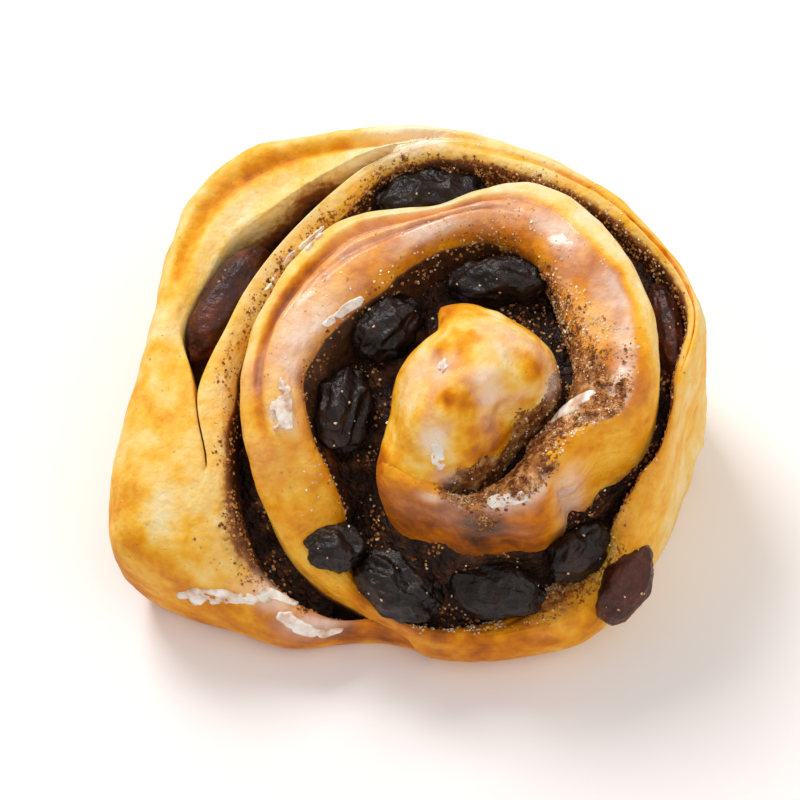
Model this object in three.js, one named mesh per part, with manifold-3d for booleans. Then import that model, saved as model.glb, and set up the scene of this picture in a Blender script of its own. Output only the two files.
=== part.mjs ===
// A baked raisin cinnamon bun: one strip of dough rolled up round a dark filling, with raisins in the roll.
// Millimetres, +Z up, resting on z = 0. The front is -Y, and the origin is under the middle of the bun.
import * as THREE from 'three';
import { mergeVertices } from 'three/addons/utils/BufferGeometryUtils.js';
import Module from 'manifold-3d';

const wasm = await Module();
wasm.setup();

// Where the roll's middle stands, in the plan of the bun.
const rollCentre = { x: 10.5, y: -13.0 };

// Every list below follows the roll outwards. An entry is [turn angle, size]: the angle is in degrees from
// the front, anticlockwise seen from above, and runs on past 360 on the second turn.
const gapStart = -10;
const gapEnd = 692;

// The gap between two turns, at the height where its sides turn over into the tops of the turns.
const gapInnerRadius = [
  [-10, 6.2], [12, 4.4], [50, 3.7], [78, 4.1], [96, 5.8], [110, 9.2], [124, 11.3], [160, 12.6],
  [200, 14.5], [208, 11.4], [240, 11.6], [262, 10.8], [278, 11.6], [300, 12.9], [335, 10.6], [375, 10.3],
  [396, 11.7], [406, 11.7], [414, 11.8], [434, 13.2], [441, 14.6], [448, 18.2], [456, 20.2], [475, 22.6],
  [505, 27.4], [532, 31.6], [552, 29.2], [577, 33.5], [600, 31.7], [631, 28.7], [652, 25.8], [672, 21.4],
  [692, 19.8],
];
const gapOuterRadius = [
  [-98, 4.0], [-30, 5.2], [-10, 7.4], [11, 6.0], [44, 5.3], [78, 5.8], [96, 7.6], [110, 10.8],
  [124, 12.8], [145, 16.0], [168, 22.2], [185, 24.0], [218, 21.2], [250, 22.4], [268, 20.2], [285, 17.8],
  [303, 19.4], [320, 18.6], [345, 17.0], [365, 14.4], [383, 12.2], [400, 12.6], [415, 14.8], [437, 17.4],
  [470, 23.4], [487, 29.2], [512, 31.8], [542, 35.9], [556, 38.3], [574, 35.8], [600, 33.9], [631, 30.7],
  [646, 30.3], [658, 27.6], [667, 24.4], [678, 18.6],
];
// The middle of the gap at the bun's foot, and half its width there.
const gapFootRadius = [
  [-10, 7.2], [20, 5.4], [50, 5.0], [90, 7.2], [125, 12.0], [180, 17.0], [235, 13.4], [275, 12.0],
  [300, 13.6], [330, 12.8], [370, 12.0], [400, 12.2], [420, 14.2], [440, 17.0], [500, 27.0], [555, 31.4],
  [600, 31.0], [650, 26.4], [692, 17.0],
];
const gapFootHalfWidth = [[-10, 1.1], [664, 1.1], [676, 0]];
// Where the turns press on each other the gap is still this wide, until the tail of the roll closes it.
const narrowestGap = [
  [-10, 1.2], [370, 1.3], [385, 0.9], [410, 0.9], [438, 2.2], [456, 1.3], [666, 1.2], [676, -4.0],
];

// The outside of the bun, at its widest.
const outsideRadius = [
  [332, 19.8], [350, 18.8], [372, 18.4], [395, 19.4], [436, 21.2], [460, 23.6], [485, 31.4], [510, 35.2],
  [539, 41.2], [560, 47.4], [569, 50.8], [577, 54.8], [583, 56.0], [588, 55.4], [593, 53.4], [598, 51.2],
  [604, 48.9], [611, 47.2], [618, 46.7], [641, 47.2], [647, 43.0], [654, 36.4], [664, 30.2], [672, 23.4],
  [680, 20.4], [692, 19.0],
];

// Heights of each turn of dough: its inner shoulder, its crest, and where its outer side is widest.
const innerShoulder = [
  [-98, 25.0], [-30, 24.0], [0, 23.5], [30, 24.0], [60, 25.0], [95, 27.5], [125, 28.5], [150, 29.5],
  [180, 31.0], [225, 29.5], [250, 27.5], [271, 22.5], [287, 15.0], [301, 10.5], [319, 7.5], [350, 6.4],
  [380, 7.2], [400, 8.4], [411, 9.6], [421, 12.0], [440, 18.5], [463, 23.5], [490, 25.5], [530, 28.5],
  [558, 28.5], [580, 25.5], [600, 22.5], [632, 19.0], [645, 16.0], [660, 7.0], [672, 5.0], [692, 4.5],
];
const crest = [
  [-98, 28.0], [-60, 27.5], [-35, 26.8], [0, 26.6], [30, 28.0], [60, 30.0], [95, 32.5], [125, 34.0],
  [180, 35.0], [225, 33.0], [250, 31.0], [271, 26.5], [287, 19.5], [301, 14.0], [319, 10.2], [350, 8.8],
  [385, 9.2], [400, 10.2], [411, 12.2], [421, 15.5], [440, 21.5], [463, 26.5], [490, 28.5], [530, 31.5],
  [558, 32.0], [600, 27.5], [632, 23.0], [645, 18.5], [655, 12.0], [672, 6.5], [692, 5.5],
];
const outerSide = [
  [-98, 19.0], [-67, 20.0], [-42, 19.5], [0, 18.5], [30, 18.5], [50, 20.0], [72, 24.0], [85, 27.0],
  [113, 30.0], [160, 32.5], [195, 31.5], [223, 29.5], [252, 27.0], [271, 23.5], [283, 19.5], [295, 14.0],
  [315, 8.5], [332, 6.5], [385, 6.0], [417, 9.0], [440, 13.0], [463, 16.0], [530, 17.0], [558, 17.0],
  [600, 15.0], [632, 12.0], [645, 9.0], [655, 5.5], [672, 3.5], [692, 3.0],
];

// Where the crest lies across a turn: 0 is its inner shoulder and 1 its outer side.
const crestPlace = [
  [-98, 0.4], [-10, 0.45], [30, 0.55], [60, 0.66], [90, 0.74], [150, 0.6], [200, 0.45], [300, 0.5],
  [350, 0.6], [385, 0.74], [410, 0.74], [440, 0.5], [560, 0.5], [692, 0.4],
];
// The power of the curve over a turn: 1 is an ellipse, less is fuller, and 2 is a straight slope.
const topFullness = 0.8;
const innerFullness = [
  [-20, 0.8], [25, 1.5], [90, 1.5], [130, 0.8], [345, 0.8], [375, 1.5], [410, 1.5], [435, 0.8],
];
// A crease pressed into the top of a turn: its depth, and where it lies across the turn.
const creaseDepth = [
  [150, 0], [180, 0.9], [225, 1.5], [262, 0.8], [285, 0], [538, 0], [556, 1.3], [590, 1.5], [612, 0],
];
const creasePlace = [
  [170, 0.62], [225, 0.68], [285, 0.66], [538, 0.5], [557, 0.48], [568, 0.64], [580, 0.69], [612, 0.76],
];
const creaseWidth = 0.07;
// The broad dip where the outer wrap slopes in to its pocket, across the turn in the same way.
const dipDepth = [[545, 0], [563, 1.5], [583, 4.4], [602, 4.0], [622, 0.8], [645, 0]];
const dipPlace = 0.5;
const dipWidth = 0.2;

// The outside rounds in below its widest line, so that the bun stands on a smaller foot.
const footInset = 3.2;
const leastWall = [[650, 1.2], [692, 0.3]];

// The knob at the middle of the roll. The strip starts inside it at rimStart, and stands out from it as a
// rim past rimLeaves.
const rimStart = 262;
const rimLeaves = 288;
const knobTop = 38;
const knobSummit = { x: 0.0, y: 2.6 };
// How far out the dome bulges round its upper half.
const knobBulge = [
  [-10, 6.2], [12, 4.8], [50, 4.2], [80, 4.6], [110, 8.6], [150, 10.4], [200, 10.2], [262, 10.0],
  [300, 10.8], [330, 9.0], [350, 6.2],
];
const knobFlatness = 2.4;
const knobFullness = 0.62;
const knobShoulder = [
  [-10, 24.0], [30, 23.5], [60, 24.0], [95, 27.0], [120, 30.0], [150, 32.0], [205, 33.0], [235, 30.5],
  [262, 27.0], [285, 23.0], [310, 21.5], [350, 24.0],
];

// The filling between the turns: how high it stands against the inner and the outer side of the gap.
const clearance = 0.3;
const cornerReach = 2;
const fillingStart = 4;
const fillingEnd = 662;
const fillingInnerLevel = [
  [4, 21.0], [60, 22.0], [90, 24.0], [110, 26.0], [180, 27.0], [230, 25.0], [270, 21.0], [300, 18.5],
  [345, 17.5], [385, 17.6], [415, 18.0], [440, 19.5], [460, 22.0], [490, 24.5], [540, 27.0], [560, 26.0],
  [585, 21.5], [632, 16.0], [662, 5.5],
];
const fillingOuterLevel = [
  [4, 20.5], [60, 21.5], [90, 23.5], [110, 25.5], [180, 27.0], [230, 24.0], [270, 17.0], [300, 9.0],
  [345, 5.4], [385, 4.4], [405, 5.6], [421, 9.0], [440, 14.0], [460, 20.0], [490, 24.0], [540, 26.5],
  [560, 26.0], [585, 20.5], [632, 15.0], [662, 5.0],
];

// The open fold in the outer turn: a pocket between a thin flap of dough and the broad outer wrap. Past the
// pocket the two press together, and only a crease is left.
const pocketInnerRadius = [
  [552, 40.4], [562, 39.6], [572, 38.3], [580, 37.6], [597, 36.5], [607, 35.8], [617, 35.9], [634, 33.4],
];
const pocketOuterRadius = [
  [552, 40.7], [562, 41.4], [572, 42.0], [580, 43.0], [589, 44.6], [598, 43.2], [607, 42.0], [613, 38.8],
  [618, 36.7], [634, 33.7],
];
const pocketFloor = [
  [552, 27.0], [562, 22.0], [580, 17.5], [600, 15.0], [614, 16.0], [622, 20.0], [634, 19.0],
];
const pocketRounding = 1.5;
const pocketFlare = 0.8;

// Raisins: place from the roll's middle, length, width, thickness, then the way the length points in plan
// and how steeply it rises, in degrees.
const raisins = [
  { x: -33.8, y: 21.6, z: 21.2, size: [17.4, 6.0, 9.0], heading: 62, rise: 10 },
  { x: -8.3, y: 34.0, z: 27.0, size: [13.6, 6.8, 6.6], heading: 12, rise: -3 },
  { x: 1.4, y: 19.6, z: 29.4, size: [12.4, 6.2, 6.2], heading: 0, rise: 4 },
  { x: -12.2, y: 14.2, z: 27.6, size: [9.2, 6.8, 6.0], heading: 45, rise: 8 },
  { x: -17.2, y: 5.2, z: 23.6, size: [10.6, 7.2, 6.4], heading: 84, rise: 14 },
  { x: -17.9, y: -9.4, z: 15.6, size: [7.4, 5.8, 5.8], heading: 172, rise: 0 },
  { x: -10.4, y: -12.2, z: 11.6, size: [11.0, 8.4, 8.6], heading: 150, rise: 10 },
  { x: 1.2, y: -12.5, z: 11.4, size: [11.6, 6.8, 7.8], heading: 172, rise: 4 },
  { x: 11.2, y: -8.7, z: 14.2, size: [8.4, 5.6, 7.4], heading: 40, rise: 24 },
  { x: 21.4, y: 16.4, z: 23.4, size: [13.6, 4.6, 6.0], heading: 102, rise: 8 },
  { x: 16.7, y: -11.4, z: 11.4, size: [10.6, 5.6, 6.6], heading: 58, rise: 30 },
];
// The dough and the filling leave this much room round a raisin.
const raisinRoom = 0.35;
const lengthwiseWrinkle = 0.07;
const crossWrinkle = 0.05;

// How finely the solids are divided.
const stripSteps = 112;
const stepGrowth = 0.35;
const faceSteps = 4;
const innerArcSteps = 5;
const outerArcSteps = 8;
const underSteps = 5;
const pocketSteps = 30;
const fillingSteps = 84;
const fillingRows = 3;
const knobRings = 7;
const knobSides = 60;
const raisinSides = 12;
const raisinRings = 8;

const crumb = new THREE.MeshStandardMaterial({ color: 0xe3a952, roughness: 0.62, metalness: 0 });
const darkFilling = new THREE.MeshStandardMaterial({ color: 0x2a160f, roughness: 0.4, metalness: 0 });
const raisinSkin = new THREE.MeshStandardMaterial({ color: 0x2e1613, roughness: 0.35, metalness: 0 });

const bun = new THREE.Group();

// Reads a list at an angle, on a smooth curve that never leaves the range of its neighbours.
function along(list, angle) {
  const last = list.length - 1;
  if (angle <= list[0][0]) {
    return list[0][1];
  }
  if (angle >= list[last][0]) {
    return list[last][1];
  }
  let k = 0;
  while (list[k + 1][0] < angle) {
    k += 1;
  }
  const slope = (n) => (list[n + 1][1] - list[n][1]) / (list[n + 1][0] - list[n][0]);
  const tangent = (n) => {
    if (n === 0 || n === last) {
      return 0;
    }
    const before = slope(n - 1);
    const after = slope(n);
    return before * after > 0 ? (2 * before * after) / (before + after) : 0;
  };
  const span = list[k + 1][0] - list[k][0];
  const t = (angle - list[k][0]) / span;
  const cubed = t * t * t;
  const squared = t * t;
  return list[k][1] * (2 * cubed - 3 * squared + 1) + list[k + 1][1] * (3 * squared - 2 * cubed)
    + span * (tangent(k) * (cubed - 2 * squared + t) + tangent(k + 1) * (cubed - squared));
}

function mix(a, b, t) {
  return a + (b - a) * t;
}

// A smooth hollow, 1 at its middle and fading to nothing a few widths away.
function hollow(widths) {
  return Math.exp(-widths * widths);
}

// The point at a turn angle, a radius from the roll's middle and a height.
function rollPoint(angle, radius, height) {
  const turn = THREE.MathUtils.degToRad(angle);
  const x = rollCentre.x + radius * Math.sin(turn);
  const y = rollCentre.y - radius * Math.cos(turn);
  return new THREE.Vector3(x, y, height);
}

// A closed solid from a row of sections, each a turn angle and a loop of [radius, height] with as many
// points as the others. A loop runs up the inner side, over the top and down the outer side.
function solidFromSections(sections) {
  const count = sections[0].loop.length;
  const points = sections.flatMap(({ angle, loop }) => loop.map((place) => rollPoint(angle, ...place)));
  const faces = [];
  for (let i = 0; i + 1 < sections.length; i += 1) {
    for (let j = 0; j < count; j += 1) {
      const a = i * count + j;
      const b = i * count + ((j + 1) % count);
      faces.push(a, b, a + count, b, b + count, a + count);
    }
  }
  const capTriangles = (section) => {
    const corners = section.loop.map(([radius, height]) => new THREE.Vector2(radius, height));
    return THREE.ShapeUtils.triangulateShape(corners, []);
  };
  const last = (sections.length - 1) * count;
  capTriangles(sections[0]).forEach(([a, b, c]) => faces.push(a, b, c));
  capTriangles(sections.at(-1)).forEach(([a, b, c]) => faces.push(last + a, last + c, last + b));
  return toSolid(points, faces);
}

function toSolid(points, faces) {
  const geometry = new THREE.BufferGeometry().setFromPoints(points);
  geometry.setIndex(faces);
  const merged = mergeVertices(geometry, 1e-5);
  return new wasm.Manifold(new wasm.Mesh({
    numProp: 3,
    vertProperties: new Float32Array(merged.attributes.position.array),
    triVerts: new Uint32Array(merged.index.array),
  }));
}

function largestPiece(solid) {
  return solid.decompose().sort((a, b) => b.volume() - a.volume())[0];
}

function addPiece(name, solid, material) {
  const result = solid.getMesh();
  const geometry = new THREE.BufferGeometry();
  geometry.setAttribute('position', new THREE.BufferAttribute(new Float32Array(result.vertProperties), 3));
  geometry.setIndex(new THREE.BufferAttribute(new Uint32Array(result.triVerts), 1));
  geometry.computeVertexNormals();
  const mesh = new THREE.Mesh(geometry, material);
  mesh.name = name;
  bun.add(mesh);
}

function gapOuter(angle) {
  return Math.max(along(gapOuterRadius, angle), along(gapInnerRadius, angle) + along(narrowestGap, angle));
}

function gapFoot(angle, side) {
  return along(gapFootRadius, angle) + side * along(gapFootHalfWidth, angle);
}

// A section of the turn of dough that lies outside the gap at this angle: up its inner face, over the crest
// in two quarter arcs, and down the outer side. On the outside of the bun that side rounds in to the foot.
function turnSection(angle) {
  const outermost = angle > gapEnd - 360;
  const inner = gapOuter(angle);
  const innerFoot = angle < gapStart ? inner : gapFoot(angle, 1);
  const outer = along(outermost ? outsideRadius : gapInnerRadius, outermost ? angle : angle + 360);
  const outerFoot = outermost
    ? Math.max(outer - footInset, innerFoot + along(leastWall, angle))
    : gapFoot(angle + 360, -1);
  const low = along(innerShoulder, angle);
  const top = along(crest, angle);
  const side = along(outerSide, angle);
  const middle = mix(inner, outer, along(crestPlace, angle));
  const innerPower = along(innerFullness, angle);
  const over = [];
  for (let j = 0; j < innerArcSteps; j += 1) {
    const turn = (Math.PI / 2) * (j / innerArcSteps);
    const inwards = Math.cos(turn) ** innerPower;
    const upwards = Math.sin(turn) ** innerPower;
    over.push([mix(middle, inner, inwards), mix(low, top, upwards)]);
  }
  for (let j = 0; j <= outerArcSteps; j += 1) {
    const turn = (Math.PI / 2) * (j / outerArcSteps);
    const outwards = Math.sin(turn) ** topFullness;
    const upwards = Math.cos(turn) ** topFullness;
    over.push([mix(middle, outer, outwards), mix(side, top, upwards)]);
  }
  const loop = [];
  for (let j = 0; j < faceSteps; j += 1) {
    loop.push([mix(innerFoot, inner, j / faceSteps), (low * j) / faceSteps]);
  }
  over.forEach(([radius, height]) => {
    const across = (radius - inner) / (outer - inner);
    const crease = along(creaseDepth, angle) * hollow((across - along(creasePlace, angle)) / creaseWidth);
    const dip = along(dipDepth, angle) * hollow((across - dipPlace) / dipWidth);
    loop.push([radius, height - crease - dip]);
  });
  for (let j = 1; j <= underSteps; j += 1) {
    const turn = (Math.PI / 2) * (j / underSteps);
    const inset = outermost ? 1 - Math.cos(turn) : j / underSteps;
    const drop = outermost ? Math.sin(turn) : j / underSteps;
    loop.push([mix(outer, outerFoot, inset), side * (1 - drop)]);
  }
  return { angle, loop };
}

// Steps along the roll are longer near its middle, where the turns are small.
function stepAngle(from, to, share) {
  return mix(from, to, share * (1 + stepGrowth * (1 - share)));
}

function doughStrip() {
  const sections = [];
  for (let i = 0; i <= stripSteps; i += 1) {
    sections.push(turnSection(stepAngle(rimStart - 360, gapEnd, i / stripSteps)));
  }
  return solidFromSections(sections);
}

// The knob's side follows the gap until the rim stands out, and then draws in under the rim to where the
// gap begins.
function knobSide(angle, size) {
  const past = Math.max(0, (angle - rimLeaves) / (gapStart + 360 - rimLeaves));
  return mix(size(Math.min(angle, rimLeaves)), size(gapStart), past * past * (3 - 2 * past));
}

function knob() {
  const points = [
    rollPoint(0, 0, 0),
    new THREE.Vector3(rollCentre.x + knobSummit.x, rollCentre.y + knobSummit.y, knobTop),
  ];
  const faces = [];
  const rows = knobRings + faceSteps;
  for (let i = 0; i < knobSides; i += 1) {
    const angle = gapStart + (360 * i) / knobSides;
    const radius = knobSide(angle, (turn) => along(gapInnerRadius, turn));
    const foot = knobSide(angle, (turn) => gapFoot(turn, -1));
    const shoulder = along(knobShoulder, angle);
    for (let j = 1; j <= knobRings; j += 1) {
      const out = Math.sin((Math.PI / 2) * (j / knobRings));
      const reach = mix(along(knobBulge, angle), radius, out ** 4) * out;
      const rise = (1 - out ** knobFlatness) ** knobFullness;
      const point = rollPoint(angle, reach, mix(shoulder, knobTop, rise));
      point.x += knobSummit.x * (1 - out);
      point.y += knobSummit.y * (1 - out);
      points.push(point);
    }
    for (let j = 1; j <= faceSteps; j += 1) {
      points.push(rollPoint(angle, mix(radius, foot, j / faceSteps), shoulder * (1 - j / faceSteps)));
    }
  }
  for (let i = 0; i < knobSides; i += 1) {
    const here = 2 + i * rows;
    const next = 2 + ((i + 1) % knobSides) * rows;
    faces.push(1, here, next);
    for (let j = 0; j + 1 < rows; j += 1) {
      faces.push(here + j, here + j + 1, next + j, here + j + 1, next + j + 1, next + j);
    }
    faces.push(0, next + rows - 1, here + rows - 1);
  }
  return toSolid(points, faces);
}

// The pocket is cut as a lens with a rounded floor.
function pocketCut() {
  const sections = [];
  const first = pocketInnerRadius[0][0];
  const last = pocketInnerRadius.at(-1)[0];
  const above = knobTop + 5;
  for (let i = 0; i <= pocketSteps; i += 1) {
    const angle = mix(first, last, i / pocketSteps);
    const inner = along(pocketInnerRadius, angle);
    const outer = along(pocketOuterRadius, angle);
    const floor = along(pocketFloor, angle);
    const loop = [
      [mix(inner, outer, 0.5), floor],
      [inner, floor + pocketRounding],
      [inner, above],
      [outer + pocketFlare, above],
      [outer, floor + pocketRounding],
    ];
    sections.push({ angle, loop });
  }
  return solidFromSections(sections);
}

// The angle and one on each side of it, so that the filling keeps clear of corners in the dough.
function near(angle) {
  return [angle - cornerReach, angle, angle + cornerReach];
}

// The filling fills the gap up to its level, a clearance away from the dough on both sides.
function fillingStrip() {
  const sections = [];
  for (let i = 0; i <= fillingSteps; i += 1) {
    const angle = stepAngle(fillingStart, fillingEnd, i / fillingSteps);
    const beside = (radius, shoulder, foot, height) => mix(foot, radius, Math.min(1, height / shoulder));
    const insideShoulder = angle < rimStart ? along(knobShoulder, angle) : along(outerSide, angle - 360);
    const innerRadius = Math.max(...near(angle).map((turn) => along(gapInnerRadius, turn)));
    const outerRadius = Math.min(...near(angle).map(gapOuter));
    const innerLevel = along(fillingInnerLevel, angle);
    const outerLevel = along(fillingOuterLevel, angle);
    const loop = [];
    for (let j = 0; j <= fillingRows; j += 1) {
      const height = (innerLevel * j) / fillingRows;
      const side = beside(innerRadius, insideShoulder, gapFoot(angle, -1), height);
      loop.push([side + clearance, height]);
    }
    for (let j = fillingRows; j >= 0; j -= 1) {
      const height = (outerLevel * j) / fillingRows;
      const side = beside(outerRadius, along(innerShoulder, angle), gapFoot(angle, 1), height);
      loop.push([side - clearance, height]);
    }
    sections.push({ angle, loop });
  }
  return solidFromSections(sections);
}

// A raisin is a flattened, wrinkled bead.
function raisinSolid(raisin, index, extra) {
  const points = [];
  const faces = [];
  const half = raisin.size.map((length) => length / 2 + extra);
  const placed = new THREE.Matrix4().makeRotationZ(THREE.MathUtils.degToRad(raisin.heading));
  placed.multiply(new THREE.Matrix4().makeRotationY(-THREE.MathUtils.degToRad(raisin.rise)));
  placed.setPosition(rollCentre.x + raisin.x, rollCentre.y + raisin.y, raisin.z);
  const surface = (ring, side) => {
    const polar = (Math.PI * ring) / raisinRings;
    const around = (2 * Math.PI * side) / raisinSides;
    const wrinkle = 1 + lengthwiseWrinkle * Math.sin(3 * around + index) * Math.sin(polar)
      + crossWrinkle * Math.sin(5 * polar + 2 * index) * Math.cos(2 * around);
    const point = new THREE.Vector3(
      half[0] * Math.cos(polar),
      half[1] * Math.sin(polar) * Math.cos(around) * wrinkle,
      half[2] * Math.sin(polar) * Math.sin(around) * wrinkle,
    );
    return point.applyMatrix4(placed);
  };
  points.push(surface(0, 0), surface(raisinRings, 0));
  for (let ring = 1; ring < raisinRings; ring += 1) {
    for (let side = 0; side < raisinSides; side += 1) {
      points.push(surface(ring, side));
    }
  }
  const at = (ring, side) => 2 + (ring - 1) * raisinSides + (side % raisinSides);
  for (let side = 0; side < raisinSides; side += 1) {
    faces.push(0, at(1, side), at(1, side + 1));
    faces.push(1, at(raisinRings - 1, side + 1), at(raisinRings - 1, side));
    for (let ring = 1; ring + 1 < raisinRings; ring += 1) {
      faces.push(at(ring, side), at(ring + 1, side), at(ring, side + 1));
      faces.push(at(ring, side + 1), at(ring + 1, side), at(ring + 1, side + 1));
    }
  }
  return toSolid(points, faces);
}

let dough = doughStrip().add(knob()).subtract(pocketCut());
let filling = fillingStrip();
raisins.forEach((raisin, index) => {
  const room = raisinSolid(raisin, index, raisinRoom);
  dough = dough.subtract(room);
  filling = filling.subtract(room);
});

addPiece('dough', largestPiece(dough), crumb);
addPiece('filling', largestPiece(filling), darkFilling);
raisins.forEach((raisin, index) => {
  addPiece(`raisin_${String(index + 1).padStart(2, '0')}`, raisinSolid(raisin, index, 0), raisinSkin);
});

export default bun;
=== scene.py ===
# %% [markdown]
# # A raisin cinnamon bun
# A cinnamon bun is a strip of soft dough, spread with cinnamon sugar and raisins, rolled up, cut across and
# baked on its cut side. The heat lifts the middle of the roll into a knob, browns the crests and leaves the
# dark filling sunk in the gaps. A thin icing is brushed over it warm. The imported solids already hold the
# roll's form. Here each gets its fine surface: the same roll on a much closer grid, with the small lumps,
# creases, grains and colours of baked dough.

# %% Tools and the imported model
from types import SimpleNamespace

import bpy
import numpy as np
from mathutils import Matrix, Vector
from mathutils.bvhtree import BVHTree


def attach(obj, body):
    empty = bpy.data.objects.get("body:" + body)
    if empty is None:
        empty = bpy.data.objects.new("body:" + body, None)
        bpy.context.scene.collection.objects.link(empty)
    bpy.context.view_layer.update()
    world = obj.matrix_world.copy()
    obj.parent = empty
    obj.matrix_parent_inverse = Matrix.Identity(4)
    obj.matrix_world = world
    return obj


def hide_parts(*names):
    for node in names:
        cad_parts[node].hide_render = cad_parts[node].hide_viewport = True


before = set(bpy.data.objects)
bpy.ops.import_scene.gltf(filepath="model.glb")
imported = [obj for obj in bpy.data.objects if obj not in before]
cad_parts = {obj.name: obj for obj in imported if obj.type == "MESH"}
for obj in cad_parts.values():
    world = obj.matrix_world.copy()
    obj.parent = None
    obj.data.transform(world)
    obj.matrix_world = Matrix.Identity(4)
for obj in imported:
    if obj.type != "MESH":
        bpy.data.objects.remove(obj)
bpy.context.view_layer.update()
print("nodes:", sorted(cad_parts))

# %% [markdown]
# ## The camera
# The bun is seen from the front and from 52 degrees above. It would lie off the middle of a wide view, and
# the camera turns to it with a longer lens, which keeps the perspective over the bun.

# %% Camera
def placed(name, data):
    """A new object in the scene that holds this data."""
    thing = bpy.data.objects.new(name, data)
    bpy.context.scene.collection.objects.link(thing)
    return thing


# The focal lengths, the side of the picture and the bun's place in the wide view are in pixels.
camera_place = Vector((0.0391, -0.1446, 0.255))
pitch = np.radians(52)
wide_focal = 1000
bun_pixel = (-146, 126)
bun_focal = 2264
image_size = 800
sensor_mm = 36
nearest = 0.01

right = Vector((1, 0, 0))
up = Vector((0, np.sin(pitch), np.cos(pitch)))
ahead = Vector((0, np.cos(pitch), -np.sin(pitch)))
towards = (ahead * wide_focal + right * bun_pixel[0] - up * bun_pixel[1]).normalized()
swing = ahead.rotation_difference(towards).to_matrix()
axes = Matrix((swing @ right, swing @ up, -(swing @ ahead))).transposed()

camera_data = bpy.data.cameras.new("camera")
camera_data.sensor_width = sensor_mm
camera_data.lens = sensor_mm * bun_focal / image_size
camera_data.clip_start = nearest
camera = placed("camera", camera_data)
camera.matrix_world = Matrix.Translation(camera_place) @ axes.to_4x4()
bpy.context.scene.camera = camera
print("lens", round(camera_data.lens, 1), "mm")

# %% [markdown]
# ## The roll in numbers
# Going round the roll from its middle outwards: how far out is the gap between two turns, how high does each
# turn stand, where does it crease? Each list gives a size in millimetres, or a share, at some turn angles,
# its stations, in degrees from the front, anticlockwise from above, past 360 on the second turn. A smooth
# curve runs through them.

# %% Sizes of the roll
MM = 0.001
QUARTER = np.pi / 2
roll_centre = np.array([10.5, -13.0, 0.0])
gap_start = -10
gap_end = 692
gap_inner_radius = {
    -10: 6.2, 12: 4.4, 50: 3.7, 78: 4.1, 96: 5.8, 110: 9.2, 124: 11.3, 160: 12.6, 200: 14.5, 208: 11.4,
    240: 11.6, 262: 10.8, 278: 11.6, 300: 12.9, 335: 10.6, 375: 10.3, 396: 11.7, 406: 11.7, 414: 11.8,
    434: 13.2, 441: 14.6, 448: 18.2, 456: 20.2, 475: 22.6, 505: 27.4, 532: 31.6, 552: 29.2, 577: 33.5,
    600: 31.7, 631: 28.7, 652: 25.8, 672: 21.4, 692: 19.8,
}
gap_outer_radius = {
    -98: 4, -30: 5.2, -10: 7.4, 11: 6, 44: 5.3, 78: 5.8, 96: 7.6, 110: 10.8, 124: 12.8, 145: 16, 168: 22.2,
    185: 24, 218: 21.2, 250: 22.4, 268: 20.2, 285: 17.8, 303: 19.4, 320: 18.6, 345: 17, 365: 14.4,
    383: 12.2, 400: 12.6, 415: 14.8, 437: 17.4, 470: 23.4, 487: 29.2, 512: 31.8, 542: 35.9, 556: 38.3,
    574: 35.8, 600: 33.9, 631: 30.7, 646: 30.3, 658: 27.6, 667: 24.4, 678: 18.6,
}
gap_foot_radius = {
    -10: 7.2, 20: 5.4, 50: 5, 90: 7.2, 125: 12, 180: 17, 235: 13.4, 275: 12, 300: 13.6, 330: 12.8, 370: 12,
    400: 12.2, 420: 14.2, 440: 17, 500: 27, 555: 31.4, 600: 31, 650: 26.4, 692: 17,
}
gap_foot_half_width = {-10: 1.1, 664: 1.1, 676: 0}
narrowest_gap = {-10: 1.2, 370: 1.3, 385: 0.9, 410: 0.9, 438: 2.2, 456: 1.3, 666: 1.2, 676: -4}
outside_radius = {
    332: 19.8, 350: 18.8, 372: 18.4, 395: 19.4, 436: 21.2, 460: 23.6, 485: 31.4, 510: 35.2, 539: 41.2,
    560: 47.4, 569: 50.8, 577: 54.8, 583: 56, 588: 55.4, 593: 53.4, 598: 51.2, 604: 48.9, 611: 47.2,
    618: 46.7, 641: 47.2, 647: 43, 654: 36.4, 664: 30.2, 672: 23.4, 680: 20.4, 692: 19,
}
inner_shoulder = {
    -98: 25, -30: 24, 0: 23.5, 30: 24, 60: 25, 95: 27.5, 125: 28.5, 150: 29.5, 180: 31, 225: 29.5,
    250: 27.5, 271: 22.5, 287: 15, 301: 10.5, 319: 7.5, 350: 6.4, 380: 7.2, 400: 8.4, 411: 9.6, 421: 12,
    440: 18.5, 463: 23.5, 490: 25.5, 530: 28.5, 558: 28.5, 580: 25.5, 600: 22.5, 632: 19, 645: 16, 660: 7,
    672: 5, 692: 4.5,
}
crest = {
    -98: 28, -60: 27.5, -35: 26.8, 0: 26.6, 30: 28, 60: 30, 95: 32.5, 125: 34, 180: 35, 225: 33, 250: 31,
    271: 26.5, 287: 19.5, 301: 14, 319: 10.2, 350: 8.8, 385: 9.2, 400: 10.2, 411: 12.2, 421: 15.5,
    440: 21.5, 463: 26.5, 490: 28.5, 530: 31.5, 558: 32, 600: 27.5, 632: 23, 645: 18.5, 655: 12, 672: 6.5,
    692: 5.5,
}
outer_side = {
    -98: 19, -67: 20, -42: 19.5, 0: 18.5, 30: 18.5, 50: 20, 72: 24, 85: 27, 113: 30, 160: 32.5, 195: 31.5,
    223: 29.5, 252: 27, 271: 23.5, 283: 19.5, 295: 14, 315: 8.5, 332: 6.5, 385: 6, 417: 9, 440: 13, 463: 16,
    530: 17, 558: 17, 600: 15, 632: 12, 645: 9, 655: 5.5, 672: 3.5, 692: 3,
}
crest_place = {
    -98: 0.4, -10: 0.45, 30: 0.55, 60: 0.66, 90: 0.74, 150: 0.6, 200: 0.45, 300: 0.5, 350: 0.6, 385: 0.74,
    410: 0.74, 440: 0.5, 560: 0.5, 692: 0.4,
}
top_fullness = 0.8
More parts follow.
